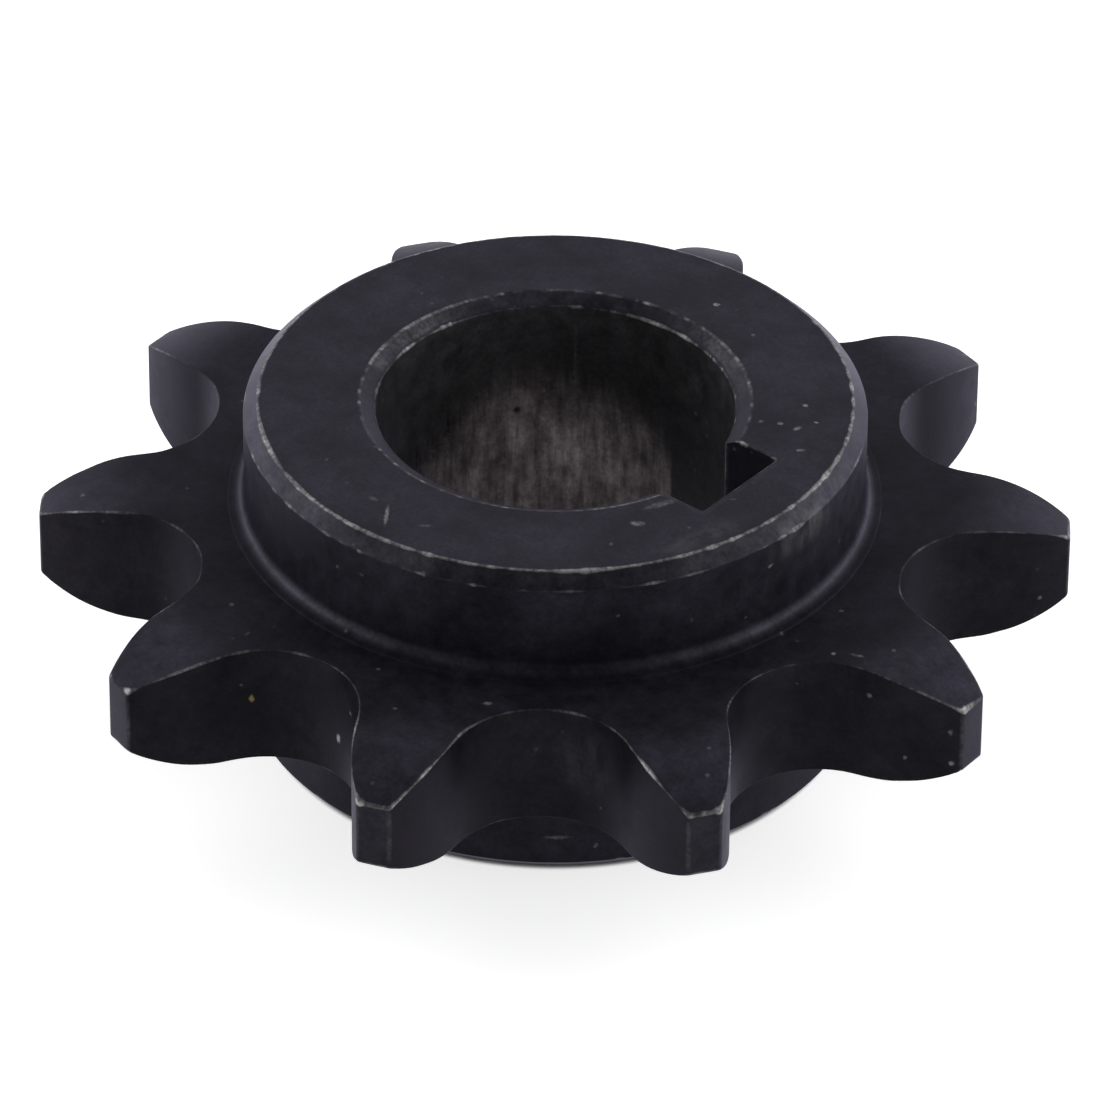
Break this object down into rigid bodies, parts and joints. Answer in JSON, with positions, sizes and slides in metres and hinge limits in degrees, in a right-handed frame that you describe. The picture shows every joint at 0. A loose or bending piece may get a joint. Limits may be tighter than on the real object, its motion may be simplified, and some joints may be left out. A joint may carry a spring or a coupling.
{
  "type": "roller chain sprocket",
  "caption": "One-piece blackened steel roller-chain sprocket: a toothed plate with a chamfered hub on both sides and a keyed through bore.",
  "frame": {"origin": "centre of the lower hub face, on the shaft axis", "axes": "+Z along the shaft axis towards the upper hub face, +X through the middle of the keyway"},
  "size_m": [0.0462, 0.0448, 0.016],
  "materials": {
    "blackened_steel": "black oxide on machined steel, satin, worn bright along its edges"
  },
  "bodies": {
    "root": {"sprocket": "blackened_steel"}
  },
  "joints": []
}
